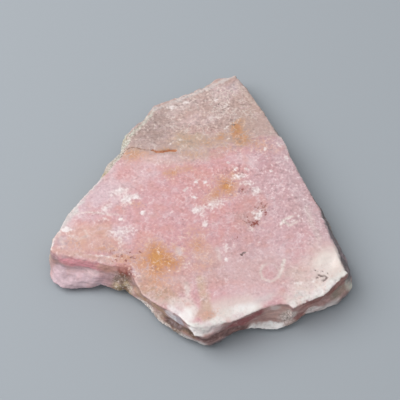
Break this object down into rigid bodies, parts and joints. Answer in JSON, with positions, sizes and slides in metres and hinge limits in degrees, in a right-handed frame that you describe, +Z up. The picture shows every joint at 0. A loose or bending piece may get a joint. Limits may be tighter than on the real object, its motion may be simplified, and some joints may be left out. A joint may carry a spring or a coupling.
{
  "type": "pink opal slab",
  "caption": "Rough broken slab of pink opal with a nearly level upper face, a lower ledge at the left and a crusted, scalloped edge, resting on its flat underside.",
  "frame": {"origin": "middle of the bounding box, on the plane that the stone rests on", "axes": "+Z up out of the upper face, +X to the right and +Y away from the tip at the front, as the picture shows it"},
  "size_m": [0.0716, 0.0782, 0.0081],
  "materials": {
    "pink_opal": "pale pink opal with cream edges, rusty patches and white chalky specks, waxy to matt broken surface"
  },
  "bodies": {
    "root": {"opal_slab": "pink_opal"}
  },
  "joints": []
}
